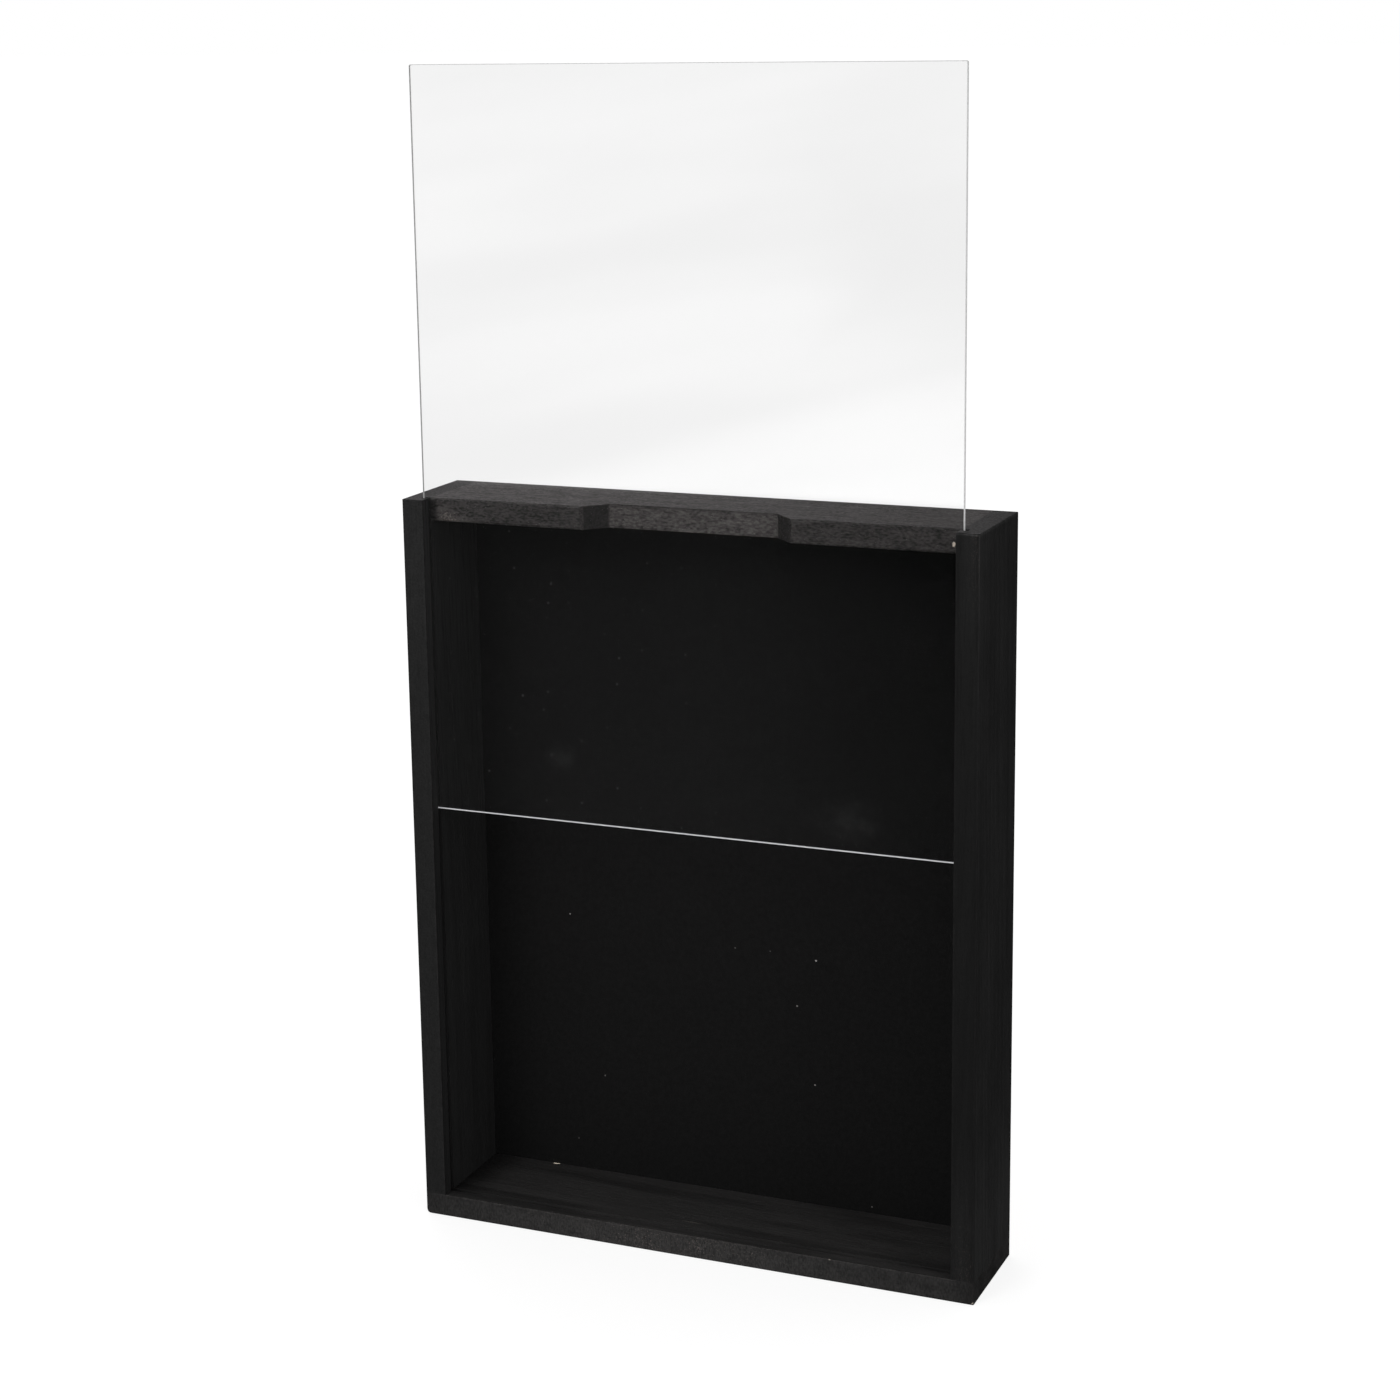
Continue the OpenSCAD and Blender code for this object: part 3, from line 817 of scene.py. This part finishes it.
@dataclass
class CaseBoards:
    """The four black boards: two sides on a full bottom board, and a top board between them."""

    clear: float = 20 * MM
    cut_depth: float = 1.3 * MM
    fade: float = 50 * MM
    notch_depth: float = 11.5 * MM
    notch_arris: float = 0.5 * MM
    lip_reach: float = 3.4 * MM
    joint_fade: float = 8 * MM

    @staticmethod
    def room(node: str, margin: float) -> tuple[Vector, ...]:
        """Gives a board's low and high corner, and then the same two moved out by a margin."""
        low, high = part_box(node)
        spare = Vector((margin,) * 3)
        return low, high, low - spare, high + spare

    def front_cut(self, node: str, tone: float, grit: float) -> Cut:
        """Gives the sawn front edge of a board."""
        low, _, near, far = self.room(node, self.clear)
        far.y = low.y + self.cut_depth
        return Cut(tuple(near), tuple(far), tone, grit)

    def upper_cut(self, node: str, tone: float, grit: float = 0.0) -> Cut:
        """Gives the upper face of a board, such as a side board's end, where the grain drank the paint."""
        _, high, near, far = self.room(node, self.clear)
        near.z = high.z - self.cut_depth
        return Cut(tuple(near), tuple(far), tone, grit)

    def painted_end_light(self, node: str, upper: float, lower: float) -> tuple[Cut, Cut]:
        """Gives painted light on the ends of a side board: paler toward the top of its front, where more
        light falls, and toward its foot, where the floor bounces light up.
        """
        low, high, near, far = self.room(node, 2 * self.fade)
        top_near = (near.x, near.y, high.z - self.fade)
        top_far = (far.x, low.y + self.clear, far.z)
        foot_far = (far.x, far.y, low.z + self.fade)
        return (
            Cut(top_near, top_far, upper, softness=self.fade),
            Cut(tuple(near), foot_far, lower, softness=self.fade),
        )

    def notch_cuts(self, splay_tone: float, back_tone: float, grit: float) -> tuple[Cut, Cut]:
        """Gives the top board's notch: the splayed ends, then the long back of it."""
        low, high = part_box("top_board")
        near = low + Vector((0.0, self.cut_depth, -self.clear))
        far = high - Vector((0.0, 0.0, self.notch_arris))
        split = low.y + self.notch_depth - self.cut_depth / 2
        far.y = split
        splays = Cut(tuple(near), tuple(far), splay_tone, grit / 2)
        near.y = split
        far.y = low.y + self.notch_depth + self.cut_depth
        return splays, Cut(tuple(near), tuple(far), back_tone, grit)

    def lip_painted_shadow(self) -> Cut:
        """Gives a painted shadow of the side board's lip on the left end of the top board's front."""
        low, high, near, _ = self.room("top_board", self.clear)
        far = (low.x + self.lip_reach, low.y + MM, high.z - MM)
        return Cut(tuple(near), far, tone=0.45, softness=MM, wear=0.2)

    def bottom_ends_and_painted_shadow(self) -> tuple[Cut, ...]:
        """Gives the bottom board's front, darker toward both ends, its darker right end face, and a painted
        shadow of the left side board over the left corner of its upper face.
        """
        low, high, near, far = self.room("bottom_board", self.clear)
        fade = self.joint_fade
        front = low.y + fade
        left_far, right_near = (low.x + fade, front, far.z), (high.x - fade, near.y, near.z)
        corner_near, corner_far = (near.x, front, near.z), (low.x + 3 * fade, far.y, far.z)
        return (
            Cut(tuple(near), left_far, tone=0.78, softness=fade, wear=0.0),
            Cut(right_near, (far.x, front, far.z), tone=0.58, softness=fade, wear=0.0),
            Cut((high.x - MM, front, near.z), tuple(far), tone=0.68, wear=0.3),
            # Painted shadow of the left side board on the bottom board's upper face, darkest in the corner.
            Cut(corner_near, corner_far, tone=0.5, softness=1.5 * fade),
        )

    def finishes(self) -> list[BlackWood]:
        """Gives each board its own cut of wood, its paint and its marks."""
        left, right = "left_side_board", "right_side_board"
        top, bottom = "top_board", "bottom_board"
        under_sides = ((0.0, 0.0, self.clear), (0.0,) * 3)
        between_sides = ((self.clear, 0.0, 0.0), (self.clear, 0.0, 0.0))
        return [
            BlackWood(
                "left_board_wood", left, GrainRun.ALONG_Z, millimetres(-230, 20, 200),
                cuts=(
                    self.front_cut(left, tone=0.72, grit=0.3),
                    self.upper_cut(left, tone=0.8),
                    *self.painted_end_light(left, upper=1.3, lower=1.0),
                ),
                tone=0.7, contrast=0.55, streaks=0.1, relief=0.4, joined=under_sides, wear_share=0.15,
            ),
            BlackWood(
                "right_board_wood", right, GrainRun.ALONG_Z, millimetres(95, 60, 200),
                cuts=(
                    self.front_cut(right, tone=0.38, grit=0.15),
                    self.upper_cut(right, tone=1.5),
                    *self.painted_end_light(right, upper=1.2, lower=1.6),
                ),
                tone=0.6, contrast=0.85, streaks=0.25, waves=0.25, relief=0.4, joined=under_sides,
                wear_share=0.12,
                # Painted highlights: a lit strip by the top of the front's outer arris, and floor light
                # bounced onto its foot.
                rubbed_and_lit=(
                    Mark(front_point(right, 150, 388), (11, 3, 120), 1.0, 0.4, 0.76),
                    Mark(front_point(right, 148, 12), (20, 3, 90), 1.0, 0.4, 0.7),
                ),
            ),
            BlackWood(
                "top_board_wood", top, GrainRun.ALONG_X, millimetres(0, 30, 300),
                cuts=(
                    self.front_cut(top, tone=0.73, grit=0.7),
                    self.upper_cut(top, tone=0.85, grit=0.45),
                    *self.notch_cuts(splay_tone=0.37, back_tone=1.4, grit=0.6),
                    self.lip_painted_shadow(),
                ),
                tone=2.3, warmth=0.1, streaks=0.6, waves=0.25, grit_stretch=(0.45, 1.0, 1.0),
                joined=between_sides,
                chips=(Mark(front_point(top, 136.6, 380.6), (0.9, 1.2, 1.5), strength=0.62),),
                rubbed_and_lit=(Mark(front_point(top, -132, 377), (21, 6, 10), 1.0, 0.5, 0.8),),
            ),
            BlackWood(
                "bottom_board_wood", bottom, GrainRun.ALONG_X, millimetres(0, 22, 90),
                cuts=(self.front_cut(bottom, tone=0.81, grit=0.45), *self.bottom_ends_and_painted_shadow()),
                tone=1.4, warmth=0.05, contrast=0.45, streaks=0.1, waves=1.1, relief=0.35,
                grit_stretch=(1.0, 1.0, 0.45),
                chips=(
                    Mark(front_point("felt_lining", -103, 12), (2.0, 1.6, 1.2)),
                    Mark(front_point(bottom, 152, 1), (0.9, 0.9, 0.7), strength=0.25),
                    Mark(front_point(bottom, 77, 11.9), (0.6, 0.6, 0.5), strength=0.14),
                    Mark((-4, -15.5, 12), (8, 0.4, 1), 0.6, 0.6, 0.05),
                ),
                rubbed_and_lit=(Mark(front_point(bottom, -18, 6), (150, 4, 40), 1.0, 0.1, 0.6),),
            ),
        ]

    def dress(self) -> None:
        """Dresses the boards."""
        for finish in self.finishes():
            dress(finish.node, finish)


@dataclass
class FeltedBack:
    """The thin back panel and the felt glued to its front."""

    cells: tuple[int, int] = (96, 124)
    swell: float = 0.06 * MM
    swell_scale: float = 70.0
    lint_places: tuple[Triple, ...] = (
        (-91.7, 156.1, 0.56), (3.1, 148.5, 0.19), (22.8, 149.1, 0.17),
        (48.1, 146.9, 1.0), (37.5, 121.0, 0.48), (47.3, 78.7, 0.52),
        (-73.0, 67.0, 0.3), (78.7, 15.5, 0.35), (-89.5, 28.6, 0.2),
    )
    lint_reach: Triple = (0.45, 1.0, 0.45)

    # The mesh is stored from left to right, then up, then front to rear, so that each run gives one order.
    STORED_ALONG = Vector((1.0, 0.04, 0.008))

    def lint(self) -> tuple[Mark, ...]:
        """Puts a fleck of lint at each place on the felt's front, given across, up and by its strength."""
        return tuple(
            Mark(front_point("felt_lining", x, z), self.lint_reach, ragged=1.6, strength=strength)
            for x, z, strength in self.lint_places
        )

    def felt(self) -> None:
        """Models the felt as a sheet with its slight unevenness, laid flat on the panel."""
        low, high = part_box("felt_lining")
        size = high - low
        mesh = bmesh.new()
        bmesh.ops.create_grid(mesh, x_segments=self.cells[0], y_segments=self.cells[1], size=0.5)
        upright = Euler((math.pi / 2, 0, 0)).to_matrix()
        bmesh.ops.rotate(mesh, cent=(0, 0, 0), matrix=upright, verts=mesh.verts)
        bmesh.ops.scale(mesh, vec=(size.x, 1.0, size.z), verts=mesh.verts)
        middle = (low + high) / 2
        bmesh.ops.translate(mesh, vec=(middle.x, low.y, middle.z), verts=mesh.verts)
        for vert in mesh.verts:
            vert.co.y += self.swell * (1 + noise.noise(vert.co * self.swell_scale))
        faces = list(mesh.faces)
        bmesh.ops.solidify(mesh, geom=faces, thickness=size.y - 2 * self.swell)
        mesh.verts.sort(key=lambda vert: vert.co.dot(self.STORED_ALONG))
        mesh.faces.sort(key=lambda face: face.calc_center_median().dot(self.STORED_ALONG))
        piece = settle(mesh, "felt_sheet", [BlackFelt(lint=self.lint())])
        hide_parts("felt_lining")
        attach(piece, "case")

    def build(self) -> None:
        """Builds the felt and dresses the panel."""
        dress("back_panel", Hardboard())
        self.felt()


@dataclass
class SlidingPane:
    """The clear front pane, with rounded corners and its arrises taken off."""

    corner_radius: float = 1.0 * MM
    corner_steps: int = 5
    arris: float = 0.3 * MM

    def smudges(self) -> tuple[Mark, ...]:
        """Puts finger marks on the pane's front."""
        return (
            Mark(front_point("sliding_pane", -70, 261), (11, 3, 12), softness=0.8, ragged=0.8),
            Mark(front_point("sliding_pane", 86, 239), (24, 3, 16), softness=0.9, ragged=0.8),
        )

    @staticmethod
    def is_face(face: bmesh.types.BMFace) -> bool:
        """Tells the pane's two large faces from its edges."""
        return abs(face.normal.y) > 0.99

    @staticmethod
    def soften(mesh: bmesh.types.BMesh, edges: list[bmesh.types.BMEdge], reach: float, steps: int) -> None:
        """Bevels some of the pane's edges and brings the normals up to date."""
        bmesh.ops.bevel(
            mesh, geom=edges, offset=reach, offset_type="OFFSET", affect="EDGES",
            segments=steps, profile=0.5, material=-1, clamp_overlap=True,
        )
        mesh.normal_update()

    def build(self) -> None:
        """Models the pane where its solid is."""
        low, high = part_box("sliding_pane")
        mesh = bmesh.new()
        bmesh.ops.create_cube(mesh, size=1.0)
        bmesh.ops.scale(mesh, vec=high - low, verts=mesh.verts)
        bmesh.ops.translate(mesh, vec=(low + high) / 2, verts=mesh.verts)
        half = (high.y - low.y) / 2
        corners = [e for e in mesh.edges if abs((e.verts[0].co - e.verts[1].co).y) > half]
        self.soften(mesh, corners, self.corner_radius, self.corner_steps)
        rims = [e for e in mesh.edges if sum(self.is_face(f) for f in e.link_faces) == 1]
        self.soften(mesh, rims, self.arris, 1)
        for face in mesh.faces:
            face.material_index = 0 if self.is_face(face) else 1
        clear = ClearAcrylic(middle=(low.y + high.y) / 2, smudges=self.smudges())
        piece = settle(mesh, "clear_pane", [clear, FrostedEdge(foot=low.z)])
        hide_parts("sliding_pane")
        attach(piece, "pane")


@dataclass
class RearFixings:
    """The brads, staples, nails and hangers, all of zinc-plated steel."""

    nodes: tuple[str, ...] = (
        "top_brads", "bottom_brads", "back_staples", "left_hanger", "right_hanger", "hanger_nails",
    )

    def dress(self) -> None:
        """Dresses the fixings."""
        for node in self.nodes:
            dress(node, ZincSteel())


@dataclass(frozen=True)
class SoftLight:
    """One large soft lamp that looks at a point of the case."""

    name: str
    place: Triple
    side: float
    power: float
    aim: Triple = (0.0, 0.0, 0.22)
    colour: Triple = (1.0, 1.0, 1.0)

    def build(self) -> None:
        """Hangs the lamp."""
        data = bpy.data.lights.new(self.name, "AREA")
        data.shape = "SQUARE"
        data.size = self.side
        data.energy = self.power
        data.color = self.colour
        lamp = bpy.data.objects.new(self.name, data)
        lamp.location = self.place
        lamp.rotation_mode = "QUATERNION"
        lamp.rotation_quaternion = (Vector(self.aim) - Vector(self.place)).to_track_quat("-Z", "Y")
        lamp.visible_camera = False
        lamp.visible_transmission = False
        bpy.context.scene.collection.objects.link(lamp)


@dataclass
class Studio:
    """White floor and backdrop with soft light, mostly from the upper left in front of the case."""

    floor_reach: float = 30.0
    ambient: float = 0.91
    band_glow: Pair = (0.3, 1.05)
    band_slope: float = 0.15
    patch_glow: float = 0.55
    patch_slope: float = 0.285
    patch_edge: Pair = (-0.038, -0.053)
    gap_low: Triple = (-0.332, -1.0, -0.112)
    gap_high: Triple = (-0.24, 0.0, -0.066)
    gap_share: float = 0.15
    foot_slope: float = 0.063
    foot_edge: Pair = (-0.195, -0.192)
    front_edge: Pair = (0.0, -0.3)
    left_edge: Pair = (-0.1, -0.25)
    sky_glow: float = 0.08
    sky_edge: Pair = (0.1, 0.9)
    rear_glow: float = 0.06
    rear_edge: Pair = (0.1, 0.8)
    rear_foot: Pair = (-0.05, 0.25)
    lamps: tuple[SoftLight, ...] = (
        SoftLight("key", (-0.66, -1.72, 1.42), side=0.8, power=14.0),
        SoftLight("fill", (1.95, -0.7, 0.65), side=1.0, power=12.5),
        SoftLight(
            "overhead", (-1.0, 1.5, 1.4), side=1.2, power=8.2,
            aim=(0.0, 0.0, 0.38), colour=(1.0, 0.95, 0.965),
        ),
    )

    def floor(self) -> None:
        """Lays the floor under the case."""
        mesh = bmesh.new()
        bmesh.ops.create_grid(mesh, x_segments=1, y_segments=1, size=self.floor_reach)
        piece = settle(mesh, "floor", [PaleFloor()])
        piece.visible_glossy = False

    def panel(self, graph: Graph, toward: Socket) -> Socket:
        """Gives the glow of the white sheet at the front left, which the raised part of the pane mirrors.

        Args:
            graph: The world's tree.
            toward: The direction that is looked in.

        Returns:
            The glow, in soft slanting bands with one bright and one dark patch.
        """
        x, y, z = graph.axes(toward)
        slant = graph.math("SUBTRACT", z, graph.times(x, self.band_slope))
        laid = graph.node("CombineXYZ", {"X": x, "Z": slant}).outputs[0]
        waves = graph.step(graph.drawn(laid, stretch=(5.0, 1.0, 26.0), detail=2.0), *MIDWAY)
        glow = graph.spread(waves, *self.band_glow)
        low_right = graph.math("SUBTRACT", z, graph.times(x, self.patch_slope))
        lit = graph.times(graph.step(low_right, *self.patch_edge), self.patch_glow)
        gap = SoftBox.add(graph, vector=toward, low=self.gap_low, high=self.gap_high, softness=0.02)["Mask"]
        glow = graph.math("ADD", graph.times(glow, graph.spread(gap, 1.0, self.gap_share)), lit)
        above = graph.plus(z, x, self.foot_slope)
        for value, edge in ((above, self.foot_edge), (y, self.front_edge), (x, self.left_edge)):
            glow = graph.times(glow, graph.step(value, *edge))
        return glow

    def world(self) -> None:
        """Makes the backdrop white to look at, and dimmer in reflections so that the pane stays clear."""
        made = bpy.data.worlds.new("studio")
        made.use_nodes = True
        graph = Graph(made.node_tree)
        toward = graph.node("TexCoord").outputs["Generated"]
        _, y, z = graph.axes(toward)
        rays = Rays(graph)
        sky = graph.times(graph.step(z, *self.sky_edge), self.sky_glow)
        rear = graph.times(graph.step(y, *self.rear_edge), self.rear_glow)
        rear = graph.times(rear, graph.step(z, *self.rear_foot))
        mirrored = graph.math("ADD", graph.math("ADD", sky, rear), self.panel(graph, toward))
        indirect = graph.mix(rays.mirrored, grey(self.ambient), mirrored)
        colour = graph.mix(rays.seen, indirect, grey(1.0))
        back = graph.node("Background", {"Color": colour}).outputs[0]
        graph.node("OutputWorld", {"Surface": back})
        bpy.context.scene.world = made

    def build(self) -> None:
        """Lays the floor, hangs the lamps and sets the backdrop."""
        self.floor()
        self.world()
        for lamp in self.lamps:
            lamp.build()
        bpy.context.scene.view_settings.view_transform = "Standard"


@dataclass
class PhotoCamera:
    """The camera at the photograph's place, as fitted to the case's corners."""

    aim: Triple = millimetres(-35.23, 0.0, 322.03)
    azimuth: float = math.radians(23.7364)
    elevation: float = math.radians(12.5178)
    roll: float = math.radians(-0.9851)
    distance: float = 1.44374
    lens_mm: float = 73.4269
    frame_px: float = 1400.0
    axis_left_of_middle_px: float = 60.0
    axis_above_middle_px: float = 70.0

    def build(self) -> None:
        """Sets the camera up and makes it the scene's."""
        data = bpy.data.cameras.new("photo_camera")
        data.lens = self.lens_mm
        data.shift_x = self.axis_left_of_middle_px / self.frame_px
        data.shift_y = -self.axis_above_middle_px / self.frame_px
        flat = math.cos(self.elevation)
        east, south = math.sin(self.azimuth), math.cos(self.azimuth)
        back = Vector((east * flat, -south * flat, math.sin(self.elevation)))
        camera = bpy.data.objects.new("photo_camera", data)
        camera.location = Vector(self.aim) + back * self.distance
        camera.rotation_mode = "QUATERNION"
        camera.rotation_quaternion = (-back).to_track_quat("-Z", "Y") @ Quaternion((0, 0, 1), self.roll)
        bpy.context.scene.collection.objects.link(camera)
        bpy.context.scene.camera = camera


def main() -> None:
    """Dresses the boards, builds the felt and the pane, dresses the fixings and sets the studio."""
    logging.basicConfig(level=logging.INFO, format="%(message)s")
    CaseBoards().dress()
    FeltedBack().build()
    SlidingPane().build()
    RearFixings().dress()
    Studio().build()
    PhotoCamera().build()


if __name__ == "__main__":
    main()
